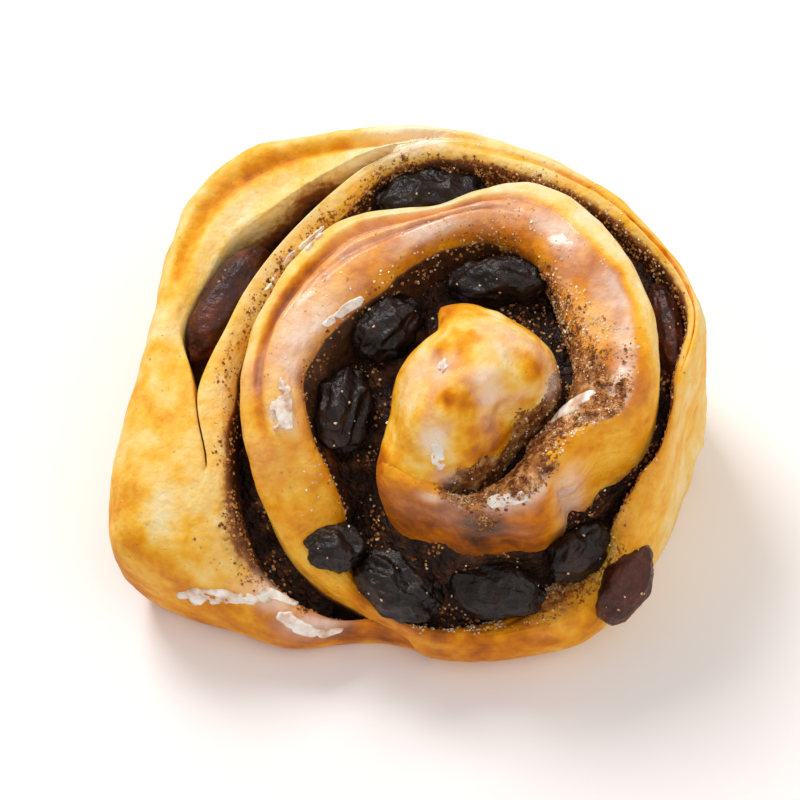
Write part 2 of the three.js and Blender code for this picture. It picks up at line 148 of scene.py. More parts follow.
inner_fullness = {-20: 0.8, 25: 1.5, 90: 1.5, 130: 0.8, 345: 0.8, 375: 1.5, 410: 1.5, 435: 0.8}
foot_inset = 3.2
least_wall = {650: 1.2, 692: 0.3}
print("the gap runs through", gap_end - gap_start, "degrees")


# %% Reading the lists
def along(stations, angle):
    """The value at each angle: cubic pieces through the stations. Their slope at a station is the harmonic
    mean of the slopes beside it, or level at a peak, so that the curve never overshoots."""
    place, value = np.array(list(stations.items()), float).T
    angle = np.clip(angle, place[0], place[-1])
    k = np.clip(np.searchsorted(place, angle) - 1, 0, len(place) - 2)
    slope = np.diff(value) / np.diff(place)
    product = slope[:-1] * slope[1:]
    total = np.where(product > 0, slope[:-1] + slope[1:], 1)
    tangent = np.concatenate([[0], np.where(product > 0, 2 * product / total, 0), [0]])
    span = place[k + 1] - place[k]
    t = (angle - place[k]) / span
    ends = value[k] * (2 * t**3 - 3 * t**2 + 1) + value[k + 1] * (3 * t**2 - 2 * t**3)
    return ends + span * (tangent[k] * (t**3 - 2 * t**2 + t) + tangent[k + 1] * (t**3 - t**2))


def mix(a, b, t):
    """From a, at t = 0, straight to b, at t = 1."""
    return a + (b - a) * t


def smooth(low, high, value):
    """0 below low, 1 above high, and a smooth step between."""
    t = np.clip((value - low) / (high - low), 0, 1)
    return t * t * (3 - 2 * t)


def fade(low, high, value):
    """The other way round: 1 below low and 0 above high."""
    return 1 - smooth(low, high, value)


def bell(widths):
    """1 at the middle, fading away a few widths off."""
    return np.exp(-widths * widths)


def roll_point(angle, radius, height):
    """Points at turn angles in degrees, radii from the roll's middle and heights."""
    turn = np.radians(angle)
    x = roll_centre[0] + radius * np.sin(turn)
    y = roll_centre[1] - radius * np.cos(turn)
    return np.stack(np.broadcast_arrays(x, y, height), axis=-1)


def gap_outer(angle):
    """The gap's outer radius: its list, but never less than the narrowest gap outside its inner radius."""
    narrowest = along(gap_inner_radius, angle) + along(narrowest_gap, angle)
    return np.maximum(along(gap_outer_radius, angle), narrowest)


def gap_foot(angle, side):
    """The gap's radius at its foot, on its inner side (-1) or its outer side (1)."""
    return along(gap_foot_radius, angle) + side * along(gap_foot_half_width, angle)


# %% [markdown]
# ## Lumps and creases
# Dough blisters, sags between the turns and keeps fine stretch lines along the roll. Its lumps are lattice
# noise, random values at the corners of a cube lattice with a smooth blend between, so two pieces that meet
# have the same lump there.

# %% Lattice noise
lattice = np.random.default_rng(7).uniform(-1, 1, (48, 48, 48))
lattice_origin = 500.3


def lumps(points, size):
    """Noise from -1 to 1 at points in millimetres, with lumps about `size` across (one number, or x, y, z):
    the sum over a cell's 8 corners of each corner's value times its share at the point."""
    place = points / np.asarray(size, float) + lattice_origin
    corner = np.floor(place).astype(int)
    share = smooth(0, 1, place - corner)
    total = np.zeros(points.shape[:-1])
    for step in np.ndindex(2, 2, 2):
        near = np.where(step, share, 1 - share).prod(axis=-1)
        index = (corner + step) % len(lattice)
        total += near * lattice[tuple(np.moveaxis(index, -1, 0))]
    return total


def layered(points, layers):
    """Lumps of several sizes together, each layer given as strength, size and a shift to other noise."""
    return sum(strength * lumps(points + shift, size) for strength, size, shift in layers)


# %% [markdown]
# ## Meshes from grids
# Two kinds of grid make every piece but the grains: a closed section swept along a path, with a flat cap at
# each end, for the strip of dough, the filling and the icing, and a ball of meridians between two poles for
# the knob and the raisins.

# %% Grid meshes
def new_piece(name, points, faces, values=None, smooth_shaded=True):
    """A mesh object in metres from points in millimetres, with named values at its points."""
    mesh = bpy.data.meshes.new(name)
    mesh.from_pydata((points * MM).tolist(), [], faces)
    if smooth_shaded:
        mesh.shade_smooth()
    for label, value in (values or {}).items():
        attribute = mesh.attributes.new(label, "FLOAT", "POINT")
        attribute.data.foreach_set("value", np.asarray(value, np.float32).ravel())
    print(name, sum(len(face) - 2 for face in faces), "triangles")
    return placed(name, mesh)


def grid_quads(shape, closed_axis=None, first=0):
    """The quads between neighbours of a grid whose points are numbered from first, and on round its closed
    axis from the last to the first."""
    index = first + np.arange(np.prod(shape)).reshape(shape)
    if closed_axis is not None:
        index = np.concatenate([index, index.take([0], closed_axis)], closed_axis)
    corners = [index[:-1, :-1], index[:-1, 1:], index[1:, 1:], index[1:, :-1]]
    return np.stack(corners, axis=-1).reshape(-1, 4).tolist()


def swept_piece(name, grids, values=None):
    """One mesh of swept bodies: grid[i, j] is point j of a body's closed section at place i of its path."""
    faces = []
    first = 0
    for grid in grids:
        rows, count = grid.shape[:2]
        faces += grid_quads((rows, count), 1, first)
        section = first + np.arange(count)
        first += rows * count
        faces += [section[::-1].tolist(), (section + (rows - 1) * count).tolist()]
    return new_piece(name, np.concatenate([grid.reshape(-1, 3) for grid in grids]), faces, values)


def ball_piece(name, top, grid, bottom, values=None):
    """A closed ball: grid[i, j] is point j, from the top down, of the meridian at place i round it."""
    sides, rings = grid.shape[:2]
    upper = 2 + rings * np.arange(sides)
    lower = upper + rings - 1
    caps = [np.stack([np.full(sides, pole), ring, following], axis=-1).tolist() for pole, ring, following in
            ((0, upper, np.roll(upper, -1)), (1, np.roll(lower, -1), lower))]
    points = np.concatenate([[top, bottom], grid.reshape(-1, 3)])
    return new_piece(name, points, grid_quads((sides, rings), 0, 2) + caps[0] + caps[1], values)


def grid_normals(grid, closed_axis):
    """Outward unit normals: the cross product of the steps along the grid's columns and rows, which go on
    round from the last to the first on the axis where the grid is closed."""
    steps = [np.roll(grid, -1, axis) - np.roll(grid, 1, axis) if axis == closed_axis
             else np.gradient(grid, axis=axis) for axis in (1, 0)]
    normal = np.cross(*steps)
    return normal / np.maximum(np.linalg.norm(normal, axis=-1, keepdims=True), 1e-9)


# %% [markdown]
# ## The strip of dough
# A place across the strip is a number c: -1 at the foot of its inner face, 0 at the inner shoulder, 1 where
# its outer side is widest, 2 at its outer foot. Two quarter arcs over the top meet at the crest. At the back
# left the outer turn opens in a pocket, where the places from 0.42 to 0.58 go down one wall, over the floor
# and up the other.

# %% The strip's surface
inner_share = 0.36
pocket_low = 0.42
pocket_high = 0.58
pocket_inner_radius = {
    552: 40.4, 562: 39.6, 572: 38.3, 580: 37.6, 597: 36.5, 607: 35.8, 617: 35.9, 634: 33.4,
}
pocket_outer_radius = {
    552: 40.7, 562: 41.4, 572: 42, 580: 43, 589: 44.6, 598: 43.2, 607: 42, 613: 38.8, 618: 36.7, 634: 33.7,
}
pocket_floor = {552: 27, 562: 22, 580: 17.5, 600: 15, 614: 16, 622: 20, 634: 19}
pocket_strength = {557: 0, 567: 1, 628: 1, 635: 0}
pocket_reach = {540: 0, 556: 1, 634: 1, 652: 0}

# Creases along the strip: their depth in millimetres, their place as a share of the turn, and their width.
creases = [
    ({150: 0, 180: 0.9, 225: 1.5, 262: 0.8, 285: 0}, {170: 0.62, 225: 0.68, 285: 0.66}, 0.07),
    ({538: 0, 556: 1.3, 590: 1.5, 612: 0}, {538: 0.5, 557: 0.48, 568: 0.64, 580: 0.69, 612: 0.76}, 0.07),
    ({545: 0, 563: 1.5, 583: 4.4, 602: 4, 622: 0.8, 645: 0}, {545: 0.5, 645: 0.5}, 0.2),
    ({168: 0, 185: 0.5, 215: 0.4, 240: 0}, {168: 0.4, 200: 0.42, 240: 0.5}, 0.035),
    ({466: 0, 484: 0.7, 512: 0.8, 535: 0.5, 556: 0}, {466: 0.4, 500: 0.44, 556: 0.3}, 0.06),
    ({572: 0, 584: 0.35, 606: 0.3, 622: 0}, {572: 0.9, 622: 0.93}, 0.025),
    ({352: 0, 366: 0.3, 392: 0.25, 404: 0}, {352: 0.5, 404: 0.4}, 0.05),
]


def strip_sizes(angle):
    """The sizes of the section at each angle."""
    outermost = angle > gap_end - 360
    inner = gap_outer(angle)
    outer = np.where(outermost, along(outside_radius, angle), along(gap_inner_radius, angle + 360))
    inner_foot = np.where(angle < gap_start, inner, gap_foot(angle, 1))
    rounded_foot = np.maximum(outer - foot_inset, inner_foot + along(least_wall, angle))
    return SimpleNamespace(
        angle=angle, outermost=outermost, inner=inner, outer=outer, inner_foot=inner_foot,
        outer_foot=np.where(outermost, rounded_foot, gap_foot(angle + 360, -1)),
        low=along(inner_shoulder, angle), top=along(crest, angle), side=along(outer_side, angle),
        middle=mix(inner, outer, along(crest_place, angle)),
    )


def groove(sizes, across, shares):
    """How deep the creases are at a share across the turn, each times its entry in shares."""
    return sum(share * along(depth, sizes.angle) * bell((across - along(lies, sizes.angle)) / width)
               for share, (depth, lies, width) in zip(shares, creases))


def over_top(sizes, place):
    """Radius and height at a place from 0 to 1 over the top: a quarter arc up to the crest, another down."""
    rising = place < inner_share
    up_turn = QUARTER * np.clip(place / inner_share, 0, 1)
    down_turn = QUARTER * np.clip((place - inner_share) / (1 - inner_share), 0, 1)
    power = along(inner_fullness, sizes.angle)
    radius = np.where(rising, mix(sizes.middle, sizes.inner, np.cos(up_turn) ** power),
                      mix(sizes.middle, sizes.outer, np.sin(down_turn) ** top_fullness))
    height = np.where(rising, mix(sizes.low, sizes.top, np.sin(up_turn) ** power),
                      mix(sizes.side, sizes.top, np.cos(down_turn) ** top_fullness))
    across = (radius - sizes.inner) / (sizes.outer - sizes.inner)
    return radius, height - groove(sizes, across, np.ones(len(creases)))


def place_over_top(sizes, radius):
    """The place over the top that has this radius: the arcs of over_top solved for their turn."""
    power = along(inner_fullness, sizes.angle)
    inward = np.clip((sizes.middle - radius) / (sizes.middle - sizes.inner), 0, 1) ** (1 / power)
    outward = np.clip((radius - sizes.middle) / (sizes.outer - sizes.middle), 0, 1) ** (1 / top_fullness)
    rising = inner_share * np.arccos(inward) / QUARTER
    falling = inner_share + (1 - inner_share) * np.arcsin(outward) / QUARTER
    return np.where(radius < sizes.middle, rising, falling)


def top_place(sizes, c):
    """Where c lies over the top, from 0 to 1. Round the pocket the places draw towards its two walls."""
    angle = sizes.angle
    reach = along(pocket_reach, angle)
    low = mix(pocket_low, place_over_top(sizes, along(pocket_inner_radius, angle)), reach)
    high = mix(pocket_high, place_over_top(sizes, along(pocket_outer_radius, angle)), reach)
    high = np.maximum(high, low + 0.01)
    q = np.clip((c - pocket_low) / (pocket_high - pocket_low), 0, 1)
    q_walled = mix(q, smooth(0.3, 0.7, q), along(pocket_strength, angle))
    inside = mix(low, high, q_walled)
    outside = mix(high, 1, (c - pocket_high) / (1 - pocket_high))
    place = np.where(c < pocket_low, low * c / pocket_low, np.where(c > pocket_high, outside, inside))
    return np.clip(place, 0, 1), q


def strip_surface(angle, c):
    """Points of the strip at each angle and place across."""
    sizes = strip_sizes(angle)
    place, q = top_place(sizes, c)
    radius, height = over_top(sizes, place)
    sunk = along(pocket_strength, angle) * np.sin(QUARTER * np.clip(np.minimum(q, 1 - q) / 0.3, 0, 1))
    height = mix(height, np.minimum(height, along(pocket_floor, angle)), sunk)
    share = np.clip(c + 1, 0, 1)
    inner_radius = mix(sizes.inner_foot, sizes.inner, share)
    inner_height = sizes.low * share
    fall = np.clip(c - 1, 0, 1)
    turn = QUARTER * fall
    inset = np.where(sizes.outermost, 1 - np.cos(turn), fall)
    drop = np.where(sizes.outermost, np.sin(turn), fall)
    outer_radius = mix(sizes.outer, sizes.outer_foot, inset)
    outer_height = sizes.side * (1 - drop)
    radius = np.where(c < 0, inner_radius, np.where(c > 1, outer_radius, radius))
    height = np.where(c < 0, inner_height, np.where(c > 1, outer_height, height))
    return roll_point(angle, radius, height)


# %% [markdown]
# The rows of the strip's grid are about half a millimetre apart, and most of its columns lie over the top,
# where the strip shows. The lumps push each point along the surface's normal. They fade out towards the
# foot, so that the bun still stands flat, and in the pocket, whose walls are thin.

# %% The strip's grid
row_step = 0.52
strip_start = -98
dough_lumps = [(0.34, 9, 0), (0.19, 3.6, 31), (0.09, 1.3, 77)]
fine = np.linspace(strip_start, gap_end, 4000)
mid_radius = mix(gap_outer(fine), strip_sizes(fine).outer, 0.5)
length = np.concatenate([[0], np.cumsum(np.radians(np.diff(fine)) * mid_radius[1:])])
rows = int(length[-1] / row_step)
strip_angle = np.interp(np.linspace(0, length[-1], rows), length, fine)[:, None]
strip_place = np.concatenate([
    -1 + np.linspace(0, 1, 10, endpoint=False) ** 0.7,
    *(np.linspace(low, high, count, endpoint=False) for low, high, count in
      ((0, pocket_low, 34), (pocket_low, pocket_high, 24), (pocket_high, 1, 36))),
    np.linspace(1, 2, 22),
])[None]


def stretch_lines(angle, c):
    """Fine lines along the roll: noise drawn out along the turn and narrow across it."""
    return lumps(np.stack(np.broadcast_arrays(angle * 0.35, c * 26, 0.0), axis=-1), (9, 1, 1))


def dough_relief(points):
    """How far the dough stands out of its plain form, in millimetres: nothing at the foot."""
    return layered(points, dough_lumps) * smooth(0.3, 4, points[..., 2])


def torn_side(angle, c):
    """1 where the outer side is torn, at the back and the right, and 0 elsewhere."""
    return smooth(1.05, 1.3, c) * smooth(440, 470, angle) * fade(575, 600, angle)


# A notch runs down the front of the rim, slanting round as it goes out. All but its depth are in degrees.
notch_depth, notch_turn, notch_slant, notch_width = 0.9, 44, 14, 3.5


def dressed_strip(angle, c):
    """The strip's points with their lumps, and the normals they were moved along."""
    points = strip_surface(angle, c)
    normals = grid_normals(points, closed_axis=1)
    relief = dough_relief(points)
    relief += 0.05 * stretch_lines(angle, c) * smooth(1, 6, points[..., 2])
    relief -= notch_depth * bell((angle - notch_turn - notch_slant * c) / notch_width) * smooth(0.3, 0.6, c)
    torn = np.abs(lumps(points + 23, (1.6, 1.6, 2.6))) * smooth(0.3, 3, points[..., 2])
    relief += 0.45 * torn_side(angle, c) * torn
    in_pocket = smooth(pocket_low - 0.05, pocket_low, c) * fade(pocket_high, pocket_high + 0.05, c)
    relief *= 1 - along(pocket_strength, angle) * in_pocket
    return points + normals * relief[..., None], normals


strip_grid, strip_normals = dressed_strip(strip_angle, strip_place)
print("strip grid", strip_grid.shape, "stands on", round(float(strip_grid[..., 2].min()), 3))

# %% [markdown]
# ## How far each part is baked
# The oven browns what stands highest, and the dough stays pale where turns press together. Four lists say
# how brown the strip is on its inner slope, its crest, its outer slope and low on its side: 0 is pale, 0.5
# golden and 1 dark brown. At the low front lip they also hold painted shade, and the creases add painted
# shade. Cinnamon sugar melts out of the gap and soaks the slope above it, with loose specks further up,
# most on the right. The same soak mask carries painted shade in the pocket and at the dark end of the open
# fold. Icing is a thin film on the crests, thicker in a few strokes.

# %% Baking, staining and painted shade lists
# From 335 to 400 degrees, at the low front lip, the lists run browner than the baking alone: there they hold
# painted shade as well.
bake_inner = {
    -98: 0.4, -60: 0.6, -30: 0.7, 30: 0.7, 60: 0.66, 120: 0.62, 150: 0.6, 195: 0.58, 225: 0.66, 250: 0.58,
    270: 0.48, 290: 0.52, 335: 0.66, 366: 0.62, 400: 0.52, 425: 0.4, 492: 0.25, 540: 0.28, 572: 0.4,
    600: 0.3, 621: 0.16, 640: 0.14, 655: 0.5, 692: 0.75,
}
bake_crest = {
    -98: 0.3, -72: 0.42, -52: 0.66, -40: 0.74, 0: 0.72, 30: 0.64, 52: 0.5, 90: 0.5, 117: 0.5, 140: 0.56,
    170: 0.58, 195: 0.56, 225: 0.6, 250: 0.52, 269: 0.42, 288: 0.44, 320: 0.58, 335: 0.7, 366: 0.6,
    399: 0.52, 420: 0.4, 460: 0.34, 500: 0.3, 540: 0.18, 556: 0.04, 566: 0.14, 592: 0.14, 611: 0.26,
    626: 0.3, 640: 0.14, 650: 0.2, 661: 0.68, 692: 0.8,
}
bake_outer = {
    -98: 0.5, -70: 0.66, -45: 0.84, -20: 0.92, 5: 0.92, 22: 0.8, 40: 0.62, 52: 0.5, 75: 0.48, 92: 0.44,
    110: 0.36, 130: 0.16, 157: 0.08, 199: 0.1, 225: 0.2, 249: 0.28, 269: 0.36, 288: 0.46, 335: 0.6,
    366: 0.62, 399: 0.52, 430: 0.34, 480: 0.3, 540: 0.18, 557: 0.16, 568: 0.26, 582: 0.3, 600: 0.28,
    611: 0.32, 627: 0.34, 636: 0.46, 643: 0.54, 650: 0.54, 658: 0.62, 664: 0.76, 676: 0.84, 692: 0.82,
}
bake_side = {
    332: 0.55, 366: 0.5, 400: 0.34, 430: 0.2, 480: 0.12, 545: 0.12, 570: 0.24, 600: 0.3, 625: 0.4,
    641: 0.62, 650: 0.6, 657: 0.58, 676: 0.64, 692: 0.6,
}
inner_zone = {
    -98: 0.24, -30: 0.3, 10: 0.46, 110: 0.44, 150: 0.3, 200: 0.26, 540: 0.26, 560: 0.4, 600: 0.4, 620: 0.34,
    655: 0.4, 692: 0.3,
}
outer_zone = {
    -98: 0.45, 60: 0.6, 110: 0.6, 135: 0.46, 160: 0.38, 210: 0.38, 235: 0.5, 280: 0.6, 560: 0.64, 692: 0.6,
}
soak_reach = {
    -98: 0.02, -45: 0.04, -25: 0.4, 0: 0.62, 30: 0.6, 60: 0.34, 110: 0.14, 150: 0.12, 190: 0.06, 260: 0.04,
    300: 0.05, 370: 0.06, 400: 0.08, 430: 0.2, 480: 0.28, 530: 0.24, 556: 0.16, 590: 0.06, 616: 0.08,
    630: 0.3, 650: 0.36, 660: 0.26, 676: 0.1, 692: 0.02,
}
speck_reach = {
    -98: 0.1, -50: 0.2, -25: 0.7, 0: 0.95, 30: 0.9, 60: 0.55, 110: 0.44, 150: 0.3, 200: 0.26, 300: 0.2,
    370: 0.5, 400: 0.7, 440: 0.4, 540: 0.3, 560: 0.5, 600: 0.5, 650: 0.5, 692: 0.2,
}
speck_density = {
    -98: 0, -45: 0.1, -25: 0.9, 0: 1.1, 40: 1.1, 110: 0.95, 130: 0.7, 160: 0.45, 200: 0.3, 300: 0.3,
    370: 0.4, 400: 0.5, 480: 0.4, 560: 0.5, 600: 0.45, 620: 0.3, 640: 0.5, 656: 0.5, 692: 0.1,
}
icing_film = {
    -98: 0.05, -40: 0.1, -10: 0.3, 25: 0.35, 50: 0.08, 100: 0.08, 130: 0.32, 165: 0.5, 200: 0.44, 225: 0.36,
    250: 0.4, 268: 0.22, 290: 0.06, 400: 0.06, 500: 0.15, 555: 0.2, 580: 0.05, 692: 0.05,
}
# Painted shade on the pocket's walls and floor, together with some filling stain, by turn angle.
pocket_shade_and_stain = {556: 1, 578: 1, 590: 0.35, 604: 0.35, 614: 0.9, 634: 0.9}

# Painted shade that each crease adds to the baking, and noise in the baking and in where its zones end.
crease_shade = [0.24, 0.24, 0, 0.5, 0.4, 0.2, 0.5]
bake_patches = [(0.13, 7, 0), (0.12, 2.4, 11), (0.08, 1.1, 71)]
zone_wander = [(0.05, 4, 15), (0.03, 1.6, 45)]
# Spots on the strip: turn angle, place, reach along in degrees and reach across. The first is painted
# shadow at the dark end of the open fold, the others are strokes of icing.
fold_shadow_spot = (574, 0.55, 5, 0.022)
icing_strokes = [
    (244, 0.26, 18, 0.16), (266, 0.31, 4, 0.08), (133, 0.37, 9, 0.07), (119, 0.35, 9, 0.05),
    (103, 0.36, 9, 0.06), (94, 0.36, 6, 0.08), (20, 0.52, 14, 0.14), (40, 0.55, 12, 0.12),
    (60, 0.95, 8, 0.25), (-32, 0.5, 8, 0.1), (160, 0.34, 10, 0.08), (196, 0.25, 12, 0.08),
    (554, 0.45, 6, 0.2), (658, 0.3, 4, 0.2), (667, 0.5, 4, 0.3),
]


def spot(angle, c, turn, lies, far, wide):
    """1 at a place on the strip, fading away over its reach along and across."""
    return bell((angle - turn) / far) * bell((c - lies) / wide)


def strip_values(angle, c, points):
    """Baking, soaked cinnamon with painted shade, specks and icing at each point of the strip. The baking
    adds up four lists, each by how far the point lies in its zone. Each of the others is the most of what
    lies there."""
    sizes = strip_sizes(angle)
    place, q = top_place(sizes, c)
    across = (over_top(sizes, place)[0] - sizes.inner) / (sizes.outer - sizes.inner)
    wander = layered(points, zone_wander)
    slope = np.clip(c, 0, 1) + wander
    inner = fade(0.25, 1.15, slope / along(inner_zone, angle))
    middle = along(outer_zone, angle)
    outer = smooth(middle - 0.07, middle + 0.16, slope)
    outermost = smooth(328, 338, angle)
    bake = inner * along(bake_inner, angle) + outer * along(bake_outer, angle)
    bake += np.maximum(1 - inner - outer, 0) * along(bake_crest, angle)
    bake = mix(bake, along(bake_side, angle), outermost * smooth(1.0, 1.35, c + wander))
    # The creases add painted shade to the baking.
    bake += groove(sizes, across, crease_shade) + layered(points, bake_patches)

    edge = np.maximum(c, 0) + 0.6 * wander
    # Cinnamon stain near the gap, darker down the gap's walls, and painted shade in the pocket (partly
    # filling stain too) and at the dark end of the open fold.
    soak_and_shade = np.maximum.reduce(np.broadcast_arrays(
        0.8 * fade(0.1, 1, edge / along(soak_reach, angle)),
        0.4 * smooth(0, 0.1, -c) + 0.4 * smooth(0.05, 0.5, -c),
        (1 - outermost) * smooth(1.16, 1.5, c + wander),
        along(pocket_shade_and_stain, angle) * along(pocket_strength, angle) * smooth(0.02, 0.2, np.minimum(q, 1 - q)),
        1.2 * spot(angle, c, *fold_shadow_spot)))
    spread = edge / along(speck_reach, angle) + 0.3 * lumps(points + 27, 3)
    specks = along(speck_density, angle) * fade(0.3, 1.1, spread)
    specks = np.maximum(specks, 0.12 * smooth(0, 0.5, lumps(points + 93, 8)))
    film = along(icing_film, angle) * smooth(0.08, 0.3, slope) * fade(0.75, 1, slope)
    film *= smooth(-0.4, 0.6, lumps(points + 5, 5))
    for stroke in icing_strokes:
        film = np.maximum(film, 1.2 * spot(angle, c + 0.6 * wander, *stroke))
    values = {"bake": bake, "soak_and_shade": soak_and_shade, "specks": specks, "film": film}
    return {label: np.clip(value, 0, 1) for label, value in values.items()}


strip_paint = strip_values(strip_angle, strip_place, strip_grid)
print("mean baking", round(float(strip_paint["bake"].mean()), 2))

# %% [markdown]
# ## The knob
# The start of the strip is wound so tightly that no turns show. It bakes into a smooth dome with a few soft
# dents, drawn out to a corner at its back where the strip's end was tucked in.

# %% The knob's surface
rim_start = 262
rim_leaves = 288
knob_top = 38
knob_summit = np.array([0.0, 2.6])
knob_bulge = {
    -10: 6.2, 12: 4.8, 50: 4.2, 80: 4.6, 110: 8.6, 150: 10.4, 200: 10.2, 262: 10, 300: 10.8, 330: 9,
    350: 6.2,
}
knob_flatness = 2.4
knob_fullness = 0.62
knob_shoulder = {
    -10: 24, 30: 23.5, 60: 24, 95: 27, 120: 30, 150: 32, 205: 33, 235: 30.5, 262: 27, 285: 23, 310: 21.5,
    350: 24,
}
knob_sides = 260
knob_rings = 84
knob_face_rows = 12

knob_patches = [(0.26, 4.5, 0), (0.2, 2, 9), (0.12, 1, 19)]

# Dents in the dome: turn angle, how far out from 0 to 1, depth and width in millimetres.
knob_dents = [(250, 0.55, 0.9, 2.6), (20, 0.5, 0.7, 2.4), (320, 0.7, 0.5, 2.4), (120, 0.6, 0.5, 2.6),
              (60, 0.8, 0.6, 1.6), (190, 0.4, 0.4, 1.8)]
# Marks on the dome: turn angle, how far out, width, and what they add to the baking and to the icing.
knob_marks = [
    (248, 0.4, 1.5, 0, 1), (230, 0.62, 1.2, 0.25, 0), (146, 0.48, 2.2, -0.2, 0.7),
    (320, 0.75, 1.5, -0.15, 1.1), (331, 0.95, 1.4, 0, 0.9), (120, 0.78, 1.8, 0.26, -0.2),
    (315, 0.37, 1.2, 0.2, -0.3), (296, 0.96, 2.4, 0.3, 0), (350, 0.31, 1.4, 0.14, -0.3),
    (114, 0.96, 1.5, 0, 1.2), (130, 0.9, 2.2, 0.22, 0.4), (200, 0.76, 2.4, -0.08, -0.5),
    (0, 0.76, 2.2, 0.1, -0.5), (266, 0.72, 2.2, -0.25, 0.2), (60, 0.6, 1.8, -0.15, 0.5),
    (316, 0.7, 2, -0.1, 0.7), (60, 0.35, 1.8, -0.1, 0.4), (348, 0.5, 1.6, 0.12, -0.7),
    (313, 0.42, 1.4, 0.16, -0.7), (295, 0.6, 1.5, 0.12, -0.4),
]


def knob_side(angle, size):
    """A size of the gap round the knob, drawn in under the rim past the angle where the rim leaves."""
    past = smooth(rim_leaves, gap_start + 360, angle)
    return mix(size(np.minimum(angle, rim_leaves)), size(np.full_like(angle, gap_start)), past)


def knob_radius(angle):
    """The gap's inner radius round the dome."""
    return knob_side(angle, lambda turn: along(gap_inner_radius, turn))


def knob_surface(angle, out):
    """Points of the dome: out runs from 0 at the summit to 1 at the shoulder, on a flattened arc."""
    shoulder = along(knob_shoulder, angle)
    reach = mix(along(knob_bulge, angle), knob_radius(angle), out**4) * out
    rise = (1 - out**knob_flatness) ** knob_fullness
    points = roll_point(angle, reach, mix(shoulder, knob_top, rise))
    points[..., :2] += knob_summit * (1 - out)[..., None]
    return points


knob_angle = np.linspace(gap_start, gap_start + 360, knob_sides, endpoint=False)[:, None]
out = np.sin(QUARTER * np.linspace(0, 1, knob_rings + 1)[1:])[None]
dome = knob_surface(knob_angle, out)
share = np.linspace(0, 1, knob_face_rows + 1)[1:][None]
foot = knob_side(knob_angle, lambda turn: gap_foot(turn, -1))
height = along(knob_shoulder, knob_angle) * (1 - share)
face = roll_point(knob_angle, mix(knob_radius(knob_angle), foot, share), height)
knob_grid = np.concatenate([dome, face], axis=1)
knob_normals = grid_normals(knob_grid, closed_axis=0)
relief = dough_relief(knob_grid)


def on_knob(turn, far, width):
    """1 at a place on the dome, fading away over its width in millimetres."""
    centre = knob_surface(np.array([float(turn)]), np.array([far]))[0]
    return bell(np.linalg.norm(knob_grid - centre, axis=-1) / width)


for turn, far, depth, width in knob_dents:
    relief -= depth * on_knob(turn, far, width)
edge = np.concatenate([out, np.ones_like(share)], axis=1)
below = np.concatenate([np.zeros_like(out), share], axis=1)
bake = 0.42 + layered(knob_grid, knob_patches)
film = 0.55 * smooth(-0.2, 0.5, lumps(knob_grid + 3, 4)) * fade(0.75, 0.95, edge)
for turn, far, width, browner, icier in knob_marks:
    bake += browner * on_knob(turn, far, width)
    film += icier * on_knob(turn, far, width)
from_front = np.where(knob_angle > 180, knob_angle - 360, knob_angle)
crevice = smooth(-45, -20, from_front) * fade(110, 135, from_front)
ragged = edge + 0.05 * lumps(knob_grid, 2)
# The foot's stain, and painted shade low in the crevice between the knob and the rim.
soak_and_shade = np.maximum(smooth(0.0, 0.2, below), 0.9 * crevice * smooth(0.94, 1.0, ragged))
specks = crevice * smooth(0.9, 0.98, ragged)
# Each value at the summit, at the middle of the foot and over the grid.
knob_values = {
    "bake": (0.45, 0.3, bake), "soak_and_shade": (0, 1, soak_and_shade), "specks": (0, 0, specks), "film": (0.3, 0, film),
}
knob_paint = {label: np.concatenate([[summit, foot], np.clip(value, 0, 1).ravel()])
              for label, (summit, foot, value) in knob_values.items()}
knob_grid = knob_grid + knob_normals * relief[..., None]
print("knob grid", knob_grid.shape)

# %% [markdown]
# ## Rim into knob
# On the left the rim is one with the knob, and it only stands clear in front, where the gap opens. Where the
# two come close their points are pushed out, so that they share one soft hollow in place of a sharp edge.

# %% Blending the rim into the knob
blend_width = 3.2
least_strength = 0.01


def surface_tree(grid, closed_axis=None):
    """A search tree over a grid's quads, in millimetres."""
    return BVHTree.FromPolygons(grid.reshape(-1, 3).tolist(), grid_quads(grid.shape[:2], closed_axis))


def blended(grid, normals, strength, other):
    """The grid with its points pushed out near the other surface, as strongly as strength says. The push is a
    quarter of the blend's width where the two cross, and falls to none at that width as a square."""
    strength = np.broadcast_to(strength, grid.shape[:2])
    moved = grid.copy()
    for row, column in np.argwhere(strength > least_strength):
        near, normal, _, distance = other.find_nearest(grid[row, column].tolist(), blend_width)
        if near is not None:
            both = normals[row, column] + np.array(normal)
            push = (blend_width - distance) ** 2 / (4 * blend_width)
            moved[row, column] += both / max(np.linalg.norm(both), 0.5) * (push * strength[row, column])
    return moved


strip_tree = surface_tree(strip_grid)
knob_tree = surface_tree(knob_grid, closed_axis=0)
over_rim = fade(-30, 0, strip_angle) * smooth(-0.2, 0.1, strip_place) * fade(1.2, 1.5, strip_place)
on_side = smooth(245, 268, knob_angle) * fade(332, 350, knob_angle) * smooth(0.3, 0.5, edge) * (1 - below)
strip_blended = blended(strip_grid, strip_normals, over_rim, knob_tree)
knob_blended = blended(knob_grid, knob_normals, on_side, strip_tree)
knob_pole = np.array([*(roll_centre[:2] + knob_summit), knob_grid[:, 0, 2].mean()])
strip = swept_piece("dough_strip", [strip_blended], strip_paint)
knob = ball_piece("dough_knob", knob_pole, knob_blended, roll_centre, knob_paint)

# %% [markdown]
# ## The filling
# Cinnamon sugar melts in the oven and sets into a dark, sticky, grainy mass between the turns. It is a strip
# like the dough's, a little wider than the gap, so that no slit shows where the two meet.

